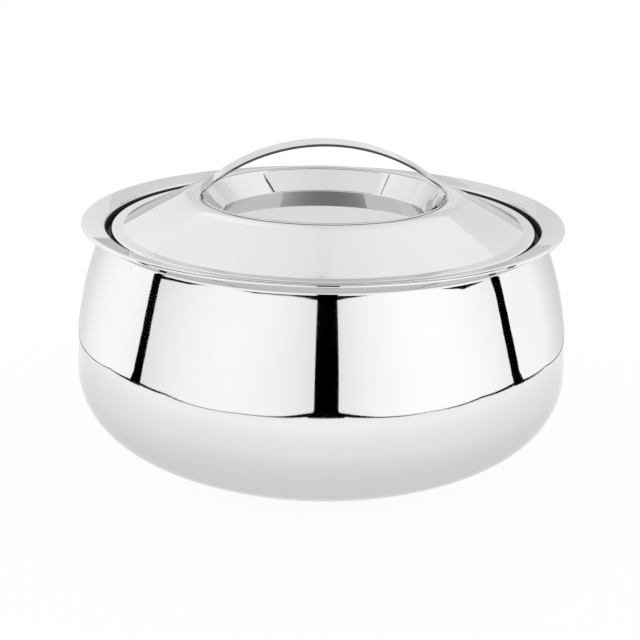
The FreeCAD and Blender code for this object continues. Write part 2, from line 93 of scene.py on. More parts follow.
@titled
class PotSizes(bpy.types.PropertyGroup):
    """Sizes of the shell and of the bowl with its flange."""
    belly_radius: length(119.3, "Largest radius of the shell")
    shell_sheet: length(0.6, "Thickness of the shell's sheet")
    belly_bend: length(32.5, "Radius of the belly in section, below its widest level")
    belly_angle: angle(55.0, "How far the belly's bend turns under")
    sweep_bend: length(95.0, "Radius of the shell's sweep towards the foot")
    sweep_angle: angle(83.0, "Slope at which the sweep meets the foot's bend")
    foot_bend: length(8.0, "Radius of the bend round the foot")
    foot_width: length(3.0, "Width of the flat ring that the pot stands on")
    recess_depth: length(1.6, "Depth of the recess inside the foot ring")
    recess_angle: angle(45.0, "Slope of the recess's side")
    recess_bend: length(1.5, "Radius of the recess's two bends")
    base_hole: length(6.0, "Radius of the hole that the foam is filled through")
    shoulder_bend: length(159.3, "Radius of the shell in section, above its widest level")
    shoulder_angle: angle(23.8, "How far the shoulder turns in")
    neck_bend: length(1.2, "Radius of the hollow between shoulder and flare")
    flare_angle: angle(45.0, "Slope of the flare under the rim")
    flare_run: length(5.1, "Length of the flare's straight part")
    lip_bend: length(1.5, "Radius of the bend from the flare into the lip")
    lip_run: length(3.05, "Length of the shell's lip inside the hem")
    bowl_sheet: length(0.6, "Thickness of the bowl's sheet")
    hem_gap: length(0.05, "Room between the hem and the lip that it is folded round")
    hem_return: length(1.2, "Length of the hem's fold under the lip")
    flange_angle: angle(14.4, "Slope of the flange down to the mouth")
    flange_width: length(9.85, "Width of the flange, from hem to mouth")
    mouth_bend: length(1.2, "Radius of the edge of the mouth")
    seat_drop: length(8.75, "Depth of the lid's seat below the hem")
    seat_bend: length(0.8, "Radius of the seat's bends")
    seat_width: length(5.7, "Width of the ledge that the lid sits on")
    draft_angle: angle(1.5, "Slope of the bowl's wall")
    bowl_corner: length(26.0, "Radius between the bowl's wall and its floor")
    bowl_floor: length(15.3, "Height of the bowl's floor")


@titled
class LidSizes(bpy.types.PropertyGroup):
    """Sizes of the lid's cover and of its liner."""
    seat_gap: length(0.1, "Room between the lid and its seat")
    lid_clearance: length(2.4, "Width of the groove round the lid")
    cover_sheet: length(0.6, "Thickness of the cover's sheet")
    skirt_height: length(5.2, "Height of the lid's upright edge")
    skirt_bend: length(1.0, "Radius of the fold under the edge")
    skirt_return: length(3.0, "Reach of the fold under the edge")
    shelf_bend: length(1.5, "Radius of the edge of the shelf")
    shelf_width: length(5.6, "Width of the flat shelf outside the cone")
    cone_foot_bend: length(1.5, "Radius of the hollow at the cone's foot")
    cone_angle: angle(25.0, "Slope of the cone")
    ridge_bend: length(16.0, "Radius of the ridge round the well")
    cone_run: length(33.8, "Distance from the cone's foot in to the ridge's centre")
    ridge_fall: angle(12.0, "How far the ridge turns down to the well")
    well_edge_bend: length(1.2, "Radius of the well's edge")
    well_angle: angle(50.7, "Slope of the well's wall")
    well_depth: length(10.55, "Depth of the well below the ridge")
    well_floor_bend: length(1.0, "Radius between the well's wall and floor")
    liner_sheet: length(0.5, "Thickness of the liner's sheet")
    liner_clearance: length(1.5, "Room between the liner and the bowl")
    liner_depth: length(9.0, "Depth of the liner below the seat")
    liner_flange_bend: length(1.2, "Radius under the liner's flange")
    liner_corner: length(6.0, "Radius of the liner's lower edge")
    liner_hole: length(5.0, "Radius of the hole that the foam is filled through")


@titled
class HandleSizes(bpy.types.PropertyGroup):
    """Sizes of the strap handle."""
    width: length(15.6, "Width of the strap")
    sheet: length(1.25, "Thickness of the strap", "Thickness")
    rise: length(24.65, "Height of the strap above the ridge")
    lift: length(1.2, "Height of the end bends' centres above the ridge", "Bend lift")
    bend: length(1.6, "Radius of the end bends, outside", "End bend")
    foot_lift: length(1.9, "Height of the feet above the well's floor")
    foot_round: length(5.0, "Rounding of the feet's corners", "Foot rounding")
    edge: length(0.3, "Rounding of the strap's long edges", "Edge rounding")
    weld_gap: length(0.05, "Room between the feet and the wall")
    weld_radius: length(1.6, "Radius of the dimple that each spot weld leaves")
    weld_depth: length(0.14, "Depth of the spot welds' dimples")


@titled
class Finishes(bpy.types.PropertyGroup):
    """Colours and finishes of the materials."""
    steel: colour("CDCDCF", "Colour of the polished steel", "Polished steel")
    steel_roughness: level(0.035, "Roughness of the polished steel", "Polished roughness")
    # Painted shade: a dark matt steel tone that stands in for the shadow in the groove round the lid and under
    # the strap's arch.
    dull: colour("5A5A5C", "Colour of the steel where shade is painted", "Steel with painted shade")
    dull_roughness: level(0.5, "Roughness of the steel where shade is painted", "Painted shade roughness")
    satin: colour("BDBDBF", "Colour of the turned satin steel", "Satin steel")
    satin_roughness: level(0.3, "Roughness of the turned satin steel")
    foam: colour("E6D9AE", "Colour of the polyurethane foam")
    plastic: colour("26272A", "Colour of the moulded plugs", "Plug plastic")


@titled
class StageSetting(bpy.types.PropertyGroup):
    """Brightness of the studio."""
    floor: colour("FCFCFC", "Colour of the floor")
    ambient: level(1.0, "Strength of the white surroundings as a light", "Ambient light")
    panels: level(1.0, "Brightness of the reflected panels, as a share of the plan", "Panel brightness")


# Sections -----------------------------
# A section is a list of bends (centre, radius, first angle, last angle). A bend's points are its centre plus
# its radius times the direction of the angle, which is also the way the face looks. A hollow bend has a
# negative radius, and an end or a point on the axis has none. Straight runs join one bend to the next.

def aim(turn):
    """Unit direction of an angle, or one for each of an array of angles."""
    return np.stack([np.cos(turn), np.sin(turn)], -1)


def rise_to_touch(first, second, normal, reach):
    """Height between two bends' centres, a reach apart, that one line with this normal touches."""
    return (first - second - reach * normal[0]) / normal[1]


def shell_bends(s):
    """Section of the shell, from its base hole out, up the belly and round the flare to its lip."""
    belly_level = (s.foot_bend + (s.sweep_bend - s.foot_bend) * math.sin(s.sweep_angle)
                   - (s.sweep_bend - s.belly_bend) * math.sin(s.belly_angle))
    belly = np.array([s.belly_radius - s.belly_bend, belly_level])
    sweep = belly - aim(-s.belly_angle) * (s.sweep_bend - s.belly_bend)
    foot = sweep + aim(-s.sweep_angle) * (s.sweep_bend - s.foot_bend)
    ring = foot[0] - s.foot_width
    tilt = aim(s.recess_angle)
    step = (s.recess_bend * 2 * (1 - tilt[0]) + s.recess_depth * tilt[0]) / tilt[1]
    shoulder = np.array([s.belly_radius - s.shoulder_bend, belly_level])
    neck = shoulder + aim(s.shoulder_angle) * (s.shoulder_bend + s.neck_bend)
    flare = neck - aim(-s.flare_angle) * s.neck_bend + aim(UP - s.flare_angle) * s.flare_run
    under = s.flange_angle + DOWN
    lip = flare + aim(-s.flare_angle) * s.lip_bend
    run = aim(s.flange_angle)
    hem = lip - aim(under) * (s.lip_bend + s.shell_sheet / 2) + run * s.lip_run
    return [
        ((s.base_hole, s.recess_depth), 0.0, DOWN, DOWN),
        ((ring - step, s.recess_depth - s.recess_bend), -s.recess_bend, DOWN, DOWN - s.recess_angle),
        ((ring, s.recess_bend), s.recess_bend, DOWN - s.recess_angle, DOWN),
        (foot, s.foot_bend, DOWN, -s.sweep_angle),
        (sweep, s.sweep_bend, -s.sweep_angle, -s.belly_angle),
        (belly, s.belly_bend, -s.belly_angle, OUT),
        (shoulder, s.shoulder_bend, OUT, s.shoulder_angle),
        (neck, -s.neck_bend, s.shoulder_angle, -s.flare_angle),
        (lip, -s.lip_bend, -s.flare_angle, under),
        (hem + aim(under) * s.shell_sheet / 2 - run * s.hem_gap, 0.0, under, under),
    ], hem


def bowl_bends(s):
    """Section of the bowl, from the hem's fold under the lip, over flange and seat, in to the axis."""
    hem = shell_bends(s)[1]
    hem_bend = s.bowl_sheet + s.hem_gap + s.shell_sheet / 2
    under, over = s.flange_angle + DOWN, s.flange_angle + UP
    mouth_radius = hem[0] - s.flange_width
    bowl_radius = mouth_radius - s.seat_width
    seat_level = hem[1] + hem_bend - s.seat_drop
    mouth_reach = mouth_radius + s.mouth_bend - hem[0]
    mouth_level = hem[1] + rise_to_touch(hem_bend, s.mouth_bend, aim(over), mouth_reach)
    ledge = np.array([bowl_radius + s.seat_bend, seat_level - s.seat_bend])
    wall = IN - s.draft_angle
    corner_level = s.bowl_floor + s.bowl_corner
    reach = (s.seat_bend + s.bowl_corner - (corner_level - ledge[1]) * math.sin(wall)) / math.cos(wall)
    return [
        (hem + aim(under) * hem_bend - aim(s.flange_angle) * s.hem_return, 0.0, under, under),
        (hem, hem_bend, under, over),
        ((mouth_radius + s.mouth_bend, mouth_level), s.mouth_bend, over, IN),
        ((mouth_radius - s.seat_bend, seat_level + s.seat_bend), -s.seat_bend, IN, UP),
        (ledge, s.seat_bend, UP, wall),
        ((ledge[0] + reach, corner_level), -s.bowl_corner, wall, UP),
        ((0.0, s.bowl_floor), 0.0, UP, UP),
    ], mouth_radius, bowl_radius, seat_level


def cover_bends(s, t):
    """Section of the lid's cover, from its fold up the edge, over shelf, cone and ridge, down to the well."""
    _, mouth_radius, _, seat_level = bowl_bends(s)
    base = seat_level + t.seat_gap
    lid_radius = mouth_radius - t.lid_clearance
    foot_radius = lid_radius - t.shelf_width
    cone, fall, wall = UP - t.cone_angle, UP + t.ridge_fall, UP + t.well_angle
    foot_level = t.skirt_height + t.cone_foot_bend
    ridge = np.array([foot_radius - t.cone_run,
                      foot_level + rise_to_touch(-t.cone_foot_bend, t.ridge_bend, aim(cone), -t.cone_run)])
    top = ridge[1] + t.ridge_bend
    well_edge = ridge + aim(fall) * (t.ridge_bend - t.well_edge_bend)
    floor = top - t.well_depth
    reach = (t.well_edge_bend + t.well_floor_bend
             - (floor + t.well_floor_bend - well_edge[1]) * math.sin(wall)) / math.cos(wall)
    bends = [
        ((lid_radius - t.skirt_return, 0.0), 0.0, DOWN, DOWN),
        ((lid_radius - t.skirt_bend, t.skirt_bend), t.skirt_bend, DOWN, OUT),
        ((lid_radius - t.shelf_bend, t.skirt_height - t.shelf_bend), t.shelf_bend, OUT, UP),
        ((foot_radius, foot_level), -t.cone_foot_bend, UP, cone),
        (ridge, t.ridge_bend, cone, fall),
        (well_edge, t.well_edge_bend, fall, wall),
        ((well_edge[0] + reach, floor + t.well_floor_bend), -t.well_floor_bend, wall, UP),
        ((0.0, floor), 0.0, UP, UP),
    ]
    lift = np.array([0.0, base])
    return [(c + lift, r, a, b) for c, r, a, b in bends], base, lid_radius, base + top, base + floor


def liner_bends(s, t):
    """Section of the liner, from its flange down its wall and in to its filling hole."""
    _, _, bowl_radius, _ = bowl_bends(s)
    _, base, lid_radius, _, _ = cover_bends(s, t)
    flange = base + t.cover_sheet + s.hem_gap
    wall_radius = bowl_radius - t.liner_clearance
    bottom = base - t.liner_depth - t.seat_gap
    return [
        ((lid_radius - t.skirt_bend, flange), 0.0, DOWN, DOWN),
        ((wall_radius + t.liner_flange_bend, flange - t.liner_flange_bend), -t.liner_flange_bend, DOWN, OUT),
        ((wall_radius - t.liner_corner, bottom + t.liner_corner), t.liner_corner, OUT, DOWN),
        ((t.liner_hole, bottom), 0.0, DOWN, DOWN),
    ]


# How finely a bend is cut, in steps of its turn, the largest radius of a tight one, and the points round a
# sheet's edge.
WIDE_STEP, TIGHT_STEP = math.radians(2.0), math.radians(9.0)
TIGHT_BEND = 3.0 * MM
EDGE_POINTS = 9
# Points of a section that are nearer than this are one point.
SAME_PLACE = 1e-7


def run_along(bends, depth):
    """Points and normals of a face, set back by a depth: every bend cut into equal small turns."""
    points, normals = [], []
    for centre, radius, first, last in bends:
        step = WIDE_STEP if abs(radius) > TIGHT_BEND else TIGHT_STEP
        count = 1 + math.ceil(abs(last - first) / step) if radius else 1
        ways = aim(np.linspace(first, last, count))
        points.append(centre + ways * (radius - depth))
        normals.append(ways)
    points, normals = np.concatenate(points), np.concatenate(normals)
    apart = np.append(True, np.linalg.norm(np.diff(points, axis=0), axis=1) > SAME_PLACE)
    return points[apart], normals[apart]


def rounded_end(point, normal, onward, sheet):
    """Half circle round a sheet's edge: mid-sheet plus half a sheet in each direction from the normal round the
    onward way to the far face."""
    turns = np.linspace(0.0, math.pi, EDGE_POINTS)[1:-1, None]
    ways = normal * np.cos(turns) + onward * np.sin(turns)
    return point - normal * sheet / 2 + ways * sheet / 2, ways


def sheet_section(bends, sheet, turned_back=False):
    """Closed outline of a bent sheet: its face, a half-round edge, its back and the other half-round edge.

    A sheet that ends on the axis is left open there, and its outline runs from axis to axis. turned_back is for
    a section given against the usual way round, with its face on the right.
    """
    sense = -1.0 if turned_back else 1.0
    bends = list(bends)
    centre, radius, first, last = bends[0]
    start_normal, start_way = aim(first), sense * aim(first + math.pi / 2)
    bends[0] = (centre + start_way * sheet / 2, radius, first, last)
    centre, radius, first, last = bends[-1]
    end_normal, end_way = aim(first), sense * aim(first + math.pi / 2)
    on_axis = centre[0] == 0.0
    if not on_axis:
        bends[-1] = (centre - end_way * sheet / 2, radius, first, last)
    face, face_normals = run_along(bends, 0.0)
    back, back_normals = run_along(bends, sheet)
    back, back_normals = back[::-1], -back_normals[::-1]
    cap, cap_normals = rounded_end(back[-1], -start_normal, -start_way, sheet)
    points, normals = [back, cap, face], [back_normals, cap_normals, face_normals]
    if not on_axis:
        far, far_normals = rounded_end(face[-1], end_normal, end_way, sheet)
        points, normals = [face, far, back, cap], [face_normals, far_normals, back_normals, cap_normals]
    return np.concatenate(points), np.concatenate(normals), on_axis


# Meshes -------------------------------

TURN = 256


def distances(points):
    """Distance of each point from the first, measured along the line through them all."""
    return np.append(0.0, np.cumsum(np.linalg.norm(np.diff(points, axis=0), axis=1)))


def grid_faces(rows, columns, close_rows, close_columns):
    """Quads of a grid of vertices, row by row; a closed way goes from its last line back to its first."""
    i = np.arange(rows if close_rows else rows - 1)[:, None]
    j = np.arange(columns if close_columns else columns - 1)[None, :]
    below, beside = (i + 1) % rows, (j + 1) % columns
    corners = [i * columns + j, i * columns + beside, below * columns + beside, below * columns + j]
    return np.stack(corners, -1).reshape(-1, 4)


def link(name, data):
    """The object of a mesh or a camera, in the scene and at its origin."""
    piece = bpy.data.objects.new(name, data)
    bpy.context.scene.collection.objects.link(piece)
    return piece


def put_mesh(name, points, faces, normals, runs, painted_shades):
    """A smooth-shaded piece with its own normals, and with two attributes for its steel: run, and a mask of
    painted shade.

    run is the distance along the outline, in metres, and the mask is 1 where a dark shade is painted on the
    steel.
    """
    mesh = bpy.data.meshes.new(name)
    mesh.from_pydata(points.tolist(), [], faces)
    mesh.polygons.foreach_set("use_smooth", np.ones(len(mesh.polygons), bool))
    mesh.update()
    mesh.normals_split_custom_set_from_vertices(normals.tolist())
    for key, values in (("run", runs), ("dull", painted_shades)):
        mesh.attributes.new(key, "FLOAT", "POINT").data.foreach_set("value", values)
    return link(name, mesh)


def lathe(name, outline, normals, on_axis, dull=None):
    """Surface of revolution: each outline point (r, z) goes to (r cos a, r sin a, z) for TURN angles a.

    The normals turn with it. An outline from axis to axis gets one vertex at each end, a closed one wraps
    round. The shade mask is true at the outline points where a dark shade is painted on.
    """
    circle = aim(np.linspace(0.0, 2 * math.pi, TURN, endpoint=False))
    run = distances(outline)
    rings = slice(1, -1) if on_axis else slice(None)
    ring, ring_normals = outline[rings], normals[rings]

    def spun(pairs):
        flat = pairs[:, None, :1] * circle
        upward = np.broadcast_to(pairs[:, None, 1:], (len(pairs), TURN, 1))
        return np.concatenate([flat, upward], 2).reshape(-1, 3)

    dull = np.zeros(len(outline)) if dull is None else dull.astype(float)
    points, ways = spun(ring), spun(ring_normals)
    runs, painted_shades = np.repeat(run[rings], TURN), np.repeat(dull[rings], TURN)
    faces = grid_faces(len(ring), TURN, not on_axis, True).tolist()
    if on_axis:
        first, last = len(points), len(points) + 1
        j = np.arange(TURN)
        beside = (j + 1) % TURN
        top = (len(ring) - 1) * TURN
        faces += np.stack([np.full(TURN, first), beside, j], 1).tolist()
        faces += np.stack([top + j, top + beside, np.full(TURN, last)], 1).tolist()
        ends = [0, -1]
        points = np.concatenate([points, [[0.0, 0.0, outline[k][1]] for k in ends]])
        ways = np.concatenate([ways, [[0.0, 0.0, np.sign(normals[k][1])] for k in ends]])
        runs, painted_shades = np.concatenate([runs, run[ends]]), np.concatenate([painted_shades, dull[ends]])
    return put_mesh(name, points, faces, ways, runs, painted_shades)


# How finely the strap is cut. Along it: the steps of a foot, smaller close to its tip, and of the arch, and the
# points of an end bend. Across it: the points of its width and of a rounded edge.
TIP_STEPS = np.array([0.0, 0.02, 0.06, 0.12, 0.2, 0.3]) * MM
FOOT_START, FOOT_STEP, ARCH_STEP = 0.5 * MM, 0.4 * MM, 1.2 * MM
BEND_POINTS, WIDTH_POINTS, CORNER_POINTS = 25, 33, 7
# The spot welds' distance from the quarters of the width, and their place as a share of the foot's length.
WELD_SHIFT, WELD_SHARE = 0.2 * MM, 0.55
# The strap is held inside the well's wall, let go at a height above the ridge and over the length below that.
HOLD_TOP, HOLD_FADE = 0.2 * MM, 0.9 * MM
# Where the painted shade on the underside begins, from a tip, and the length over which it sets in.
PAINTED_SHADE_START, PAINTED_SHADE_FADE = 24.0 * MM, 8.0 * MM
# A normal shorter than this isn't made longer.
NO_LENGTH = 1e-12


def strap_path(s, t, h):
    """Middle line of the strap and its outward normals, from foot tip to foot tip, in section (x, z).

    The feet lie along the well's wall, the end bends touch them, and one arch touches both bends and the top.
    """
    cover, _, _, ridge_top, floor = cover_bends(s, t)
    well_edge, _, _, wall_turn = cover[5]
    wall = aim(wall_turn)
    foot_line = well_edge @ wall + t.well_edge_bend + h.weld_gap
    bend_level = ridge_top + h.lift
    bend = np.array([(foot_line + h.bend - bend_level * wall[1]) / wall[0], bend_level])
    rise = h.rise - h.lift
    arch = (bend[0] ** 2 + rise ** 2 - h.bend ** 2) / (2 * (rise - h.bend))
    centre = np.array([0.0, ridge_top + h.rise - arch])
    arch_turn = math.atan2(bend[1] - centre[1], bend[0])
    foot_turn = wall_turn - math.pi
    tip_level = floor + h.foot_lift
    tip = np.array([(foot_line - tip_level * wall[1]) / wall[0], tip_level])
    touch = bend + aim(foot_turn) * h.bend
    foot_length = np.linalg.norm(touch - tip)
    steps = np.append(TIP_STEPS, np.linspace(FOOT_START, foot_length, round(foot_length / FOOT_STEP)))
    foot_points = tip + (touch - tip) / foot_length * steps[:, None]
    foot_ways = np.broadcast_to(aim(foot_turn), foot_points.shape)
    bend_ways = aim(np.linspace(foot_turn, arch_turn, BEND_POINTS)[1:])
    arch_ways = aim(np.linspace(arch_turn, UP, round((UP - arch_turn) * arch / ARCH_STEP))[1:])
    ways = np.concatenate([foot_ways, bend_ways, arch_ways])
    points = np.concatenate([foot_points, bend + bend_ways * h.bend, centre + arch_ways * arch])
    points = points - ways * h.sheet / 2
    flip = np.array([-1.0, 1.0])
    points, ways = (np.concatenate([half, half[-2::-1] * flip]) for half in (points, ways))
    reach = distances(points)
    from_tip = np.minimum(reach, reach[-1] - reach)
    return points, ways, from_tip, foot_line, wall, foot_length, ridge_top


def set_back(radius, reach):
    """How far a corner's quarter circle stands back from the square corner, at a reach from the end."""
    return radius - np.sqrt(np.clip(radius ** 2 - (radius - np.minimum(reach, radius)) ** 2, 0, None))


def strap_profile():
    """Points round the strap, as four rows: place across from -1 to 1, face (1 or -1), and how far the rounded
    edge goes out from its centre, sideways and up."""
    quarter = np.linspace(0.0, math.pi / 2, CORNER_POINTS)
    across = np.linspace(-1.0, 1.0, WIDTH_POINTS)[1:-1]
    profile = []
    for side, way, flat in ((1, 1, across[::-1]), (-1, 1, ()), (-1, -1, across), (1, -1, ())):
        turns = quarter if side == way else quarter[::-1]
        profile += [(side, way, side * math.cos(turn), way * math.sin(turn)) for turn in turns]
        profile += [(place, way, 0.0, way) for place in flat]
    return np.array(profile).T


def strap_mesh(s, t, h):
    """The strap: a flat rounded-edge profile carried along its path.

    Across the path a point is the middle line plus its normal times a height plus the side way times a width.
    Near a tip the width follows the quarter circles of the foot's corners, and thickness and width the rounding
    of the edge. The side towards the well is held inside the wall's cone, at most sqrt(radius^2 - side^2) from
    the middle plane. Two spot welds each press a dimple of the form depth times exp(-(distance/radius)^2).
    On the arch the sheared edges and the underside are returned in the shade mask, where a dark shade is
    painted on.
    """
    path, ways, from_tip, foot_line, wall, foot_length, ridge_top = strap_path(s, t, h)
    spread, rise, curl_side, curl_rise = strap_profile()
    eased = set_back(h.edge, from_tip)
    half_width = h.width / 2 - np.maximum(set_back(h.foot_round, from_tip), eased)
    half_sheet = h.sheet / 2 - eased
    flat_width = np.clip(half_width - h.edge, 0.0, None)[:, None]
    flat_sheet = np.clip(half_sheet - h.edge, 0.0, None)[:, None]
    round_part = np.minimum(h.edge, half_sheet)[:, None]
    side = spread * flat_width + curl_side * round_part
    height = rise * flat_sheet + curl_rise * round_part

    inward = np.clip(-rise, 0.0, 1.0)
    weld_side, weld_reach = h.width / 4 - WELD_SHIFT, WELD_SHARE * foot_length
    for weld in (-weld_side, weld_side):
        gap = (from_tip[:, None] - weld_reach) ** 2 + (side - weld) ** 2
        height = height + inward * h.weld_depth * np.exp(-gap / h.weld_radius ** 2)

    x = path[:, None, 0] + ways[:, None, 0] * height
    z = path[:, None, 1] + ways[:, None, 1] * height
    wall_radius = (foot_line - z * wall[1]) / wall[0]
    limit = np.sqrt(np.clip(wall_radius ** 2 - side ** 2, 0, None))
    held = np.clip((ridge_top + HOLD_TOP - z) / HOLD_FADE, 0.0, 1.0)
    x = np.sign(x) * (np.abs(x) - held * np.clip(np.abs(x) - limit, 0.0, None))
    grid = np.stack([x, side, z], -1)

    rows, columns = x.shape
    normals = np.cross(np.roll(grid, -1, 1) - np.roll(grid, 1, 1), np.gradient(grid, axis=0))
    normals /= np.clip(np.linalg.norm(normals, axis=2, keepdims=True), NO_LENGTH, None)
    outward = np.stack([ways[:, None, 0] * height, side, ways[:, None, 1] * height], -1)
    faces = grid_faces(rows, columns, False, True)
    if np.median((outward * normals).sum(-1)) < 0:
        normals = -normals
        faces = faces[:, ::-1]
    caps = [list(range(columns)), [(rows - 1) * columns + k for k in range(columns)][::-1]]
    # Painted shade under the arch: its underside and lower edges take the dark tone.
    dull = (curl_rise < 0.5) * np.clip((from_tip[:, None] - PAINTED_SHADE_START) / PAINTED_SHADE_FADE, 0.0, 1.0)
    return (grid.reshape(-1, 3), faces.tolist() + caps, normals.reshape(-1, 3), np.repeat(from_tip, columns),
            dull.ravel())


# Materials ----------------------------

def add(tree, kind, inputs=None, **settings):
    """Adds a shader node with its settings.

    An input is a value, the output socket that is linked to it, or a node, for its first output in use.
    """
    node = tree.nodes.new("ShaderNode" + kind)
    for key, value in settings.items():
        setattr(node, key, value)
    for key, value in (inputs or {}).items():
        if isinstance(value, bpy.types.Node):
            value = next(socket for socket in value.outputs if socket.enabled)
        if isinstance(value, bpy.types.NodeSocket):
            tree.links.new(value, node.inputs[key])
        else:
            node.inputs[key].default_value = value
    return node


def calc(tree, operation, *values):
    """A math node that works on some values."""
    return add(tree, "Math", dict(enumerate(values)), operation=operation)


def with_tree(owner):
    """A material or a world, and its node tree, emptied."""
    owner.use_nodes = True
    owner.node_tree.nodes.clear()
    return owner, owner.node_tree


def new_material(name):
    return with_tree(bpy.data.materials.new(name))


def rgba(colour, share=1.0):
    """A colour, or a darker share of it, as the four values that a node takes."""
    return [share * c for c in colour] + [1.0]


def finish_material(material, kind, inputs):
    """Ends a material with a shader node of a kind, and returns it."""
    tree = material.node_tree
    add(tree, "OutputMaterial", {"Surface": add(tree, kind, inputs)})
    return material


# Steel stays a poor mirror at a glancing view, about 0.7 of the light at 82 degrees, so its edges don't whiten.
STEEL_EDGE = rgba([0.87] * 3)
# How far apart the mop's lines are drawn on a sheet and on the strap, and the size of the patches of haze.
SHEET_LINES, STRAP_LINES, HAZE_SIZE = 0.7 * MM, 0.9 * MM, 28 * MM


def polished_steel(name, looks, line_spacing):
    """Stainless steel, 18/8 sheet, deep drawn and mirror-polished with a rotating mop.

    The mop leaves fine lines round the axis and a faint haze in patches, so the mirror is sharp but its gloss
    isn't the same all over. The real lines are about 0.02 mm apart; line_spacing draws them coarse enough to
    show. The bump is a few hundredths of a micron a millimetre, so that straight reflections stay straight.
    Where the shade mask is 1, a dark matt tone is painted on the sheet as shade, in the groove round the lid
    and under the strap's arch.
    """
    material, tree = new_material(name)
    run = add(tree, "Attribute", attribute_name="run")
    place = add(tree, "TexCoord")
    lines = add(tree, "TexNoise", {"W": run.outputs["Fac"], "Scale": 1 / line_spacing, "Detail": 3.0},
                noise_dimensions="1D")
    haze = add(tree, "TexNoise", {"Vector": place.outputs["Object"], "Scale": 1 / HAZE_SIZE, "Detail": 4.0,
                                  "Roughness": 0.6})
    rough = add(tree, "MapRange", {
        "Value": calc(tree, "MULTIPLY", lines, haze), "From Min": 0.1, "From Max": 0.45,
        "To Min": 0.5 * looks.steel_roughness, "To Max": 1.6 * looks.steel_roughness})
    tone = add(tree, "Mix", {"Factor": haze, "A": rgba(looks.steel, 0.955), "B": rgba(looks.steel)},
               data_type="RGBA")
    bump = add(tree, "Bump", {"Height": lines, "Strength": 0.05, "Distance": 0.004 * MM})
    # Painted shade: where the mask is 1 the colour goes to the dark shade tone and the roughness to its own
    # value.
    dull = add(tree, "Attribute", attribute_name="dull")
    tone = add(tree, "Mix", {"Factor": dull.outputs["Fac"], "A": tone, "B": rgba(looks.dull)},
               data_type="RGBA")
    rough = add(tree, "Mix", {"Factor": dull.outputs["Fac"], "A": rough, "B": looks.dull_roughness},
                data_type="FLOAT")
    return finish_material(material, "BsdfPrincipled", {
        "Base Color": tone, "Metallic": 1.0, "Roughness": rough, "Specular Tint": STEEL_EDGE, "Normal": bump})


def satin_steel(looks):
    """Stainless steel disc, faced on a lathe to a satin finish.

    The tool leaves rings about 0.3 mm apart, which spread a highlight across them; drawn 0.8 mm apart to show.
    """
    material, tree = new_material("turned_satin_stainless_steel")
    place = add(tree, "TexCoord")
    flat = add(tree, "VectorMath", {0: place.outputs["Object"], 1: (1.0, 1.0, 0.0)}, operation="MULTIPLY")
    radius = add(tree, "VectorMath", {0: flat}, operation="LENGTH")
    rings = add(tree, "TexNoise", {"W": radius, "Scale": 1 / (0.8 * MM), "Detail": 3.0}, noise_dimensions="1D")
    rough = add(tree, "MapRange", {"Value": rings, "To Min": 0.6 * looks.satin_roughness,
                                   "To Max": 1.4 * looks.satin_roughness})
    bump = add(tree, "Bump", {"Height": rings, "Strength": 0.5, "Distance": 0.02 * MM})
    return finish_material(material, "BsdfPrincipled", {
        "Base Color": rgba(looks.satin), "Metallic": 1.0, "Roughness": rough, "Normal": bump})


def rigid_foam(looks):
    """Rigid polyurethane foam, poured between the walls and set there: matt, cream, with closed cells of about
    0.4 mm, drawn at 1.5 mm, and patches where it has darkened."""
    material, tree = new_material("poured_polyurethane_foam")
    place = add(tree, "TexCoord")
    cells = add(tree, "TexVoronoi", {"Vector": place.outputs["Object"], "Scale": 1 / (1.5 * MM)})
    patches = add(tree, "TexNoise", {"Vector": place.outputs["Object"], "Scale": 1 / (30 * MM)})
    tone = add(tree, "Mix", {"Factor": patches, "A": rgba(looks.foam, 0.8), "B": rgba(looks.foam)},
               data_type="RGBA")
    bump = add(tree, "Bump", {"Height": cells, "Strength": 0.6, "Distance": 0.3 * MM})
    return finish_material(material, "BsdfPrincipled", {"Base Color": tone, "Roughness": 0.9, "Normal": bump})


def plug_plastic(looks):
    """Polyethylene, injection moulded: near-black, with the fine grain of a spark-eroded mould, 0.3 mm across,
    drawn at 0.6 mm, which breaks its highlight up."""
    material, tree = new_material("moulded_polyethylene")
    place = add(tree, "TexCoord")
    grain = add(tree, "TexNoise", {"Vector": place.outputs["Object"], "Scale": 1 / (0.6 * MM), "Detail": 2.0})
    rough = add(tree, "MapRange", {"Value": grain, "To Min": 0.35, "To Max": 0.6})
    bump = add(tree, "Bump", {"Height": grain, "Strength": 0.3, "Distance": 0.05 * MM})
    return finish_material(material, "BsdfPrincipled", {
        "Base Color": rgba(looks.plastic), "Roughness": rough, "IOR": 1.51, "Normal": bump})


def dress(piece, material, body, node):
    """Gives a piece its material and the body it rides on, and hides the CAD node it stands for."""
    piece.data.materials.clear()
    piece.data.materials.append(material)
    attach(piece, body)
    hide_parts(node)


# How far past the groove's heights its painted shade goes.
GROOVE_MARGIN = 0.1 * MM


def drawn_sheet(part, outline, body, node, dull=None):
    """Builds one piece of drawn, mirror-polished sheet from its closed outline."""
    piece = lathe(part + "_of_drawn_sheet", *outline, dull)
    steel = polished_steel("mopped_stainless_steel_" + part, bpy.context.scene.finishes, SHEET_LINES)
    dress(piece, steel, body, node)
    return {"FINISHED"}


# Operators ----------------------------

class BuildShell(bpy.types.Operator):
    """Build the belly-shaped outer shell"""
    bl_idname = "casserole.shell"
    bl_label = "Outer shell"

    def execute(self, context):
        sizes = context.scene.pot_sizes
        outline = sheet_section(shell_bends(sizes)[0], sizes.shell_sheet)
        return drawn_sheet("shell", outline, "pot", "outer_shell")


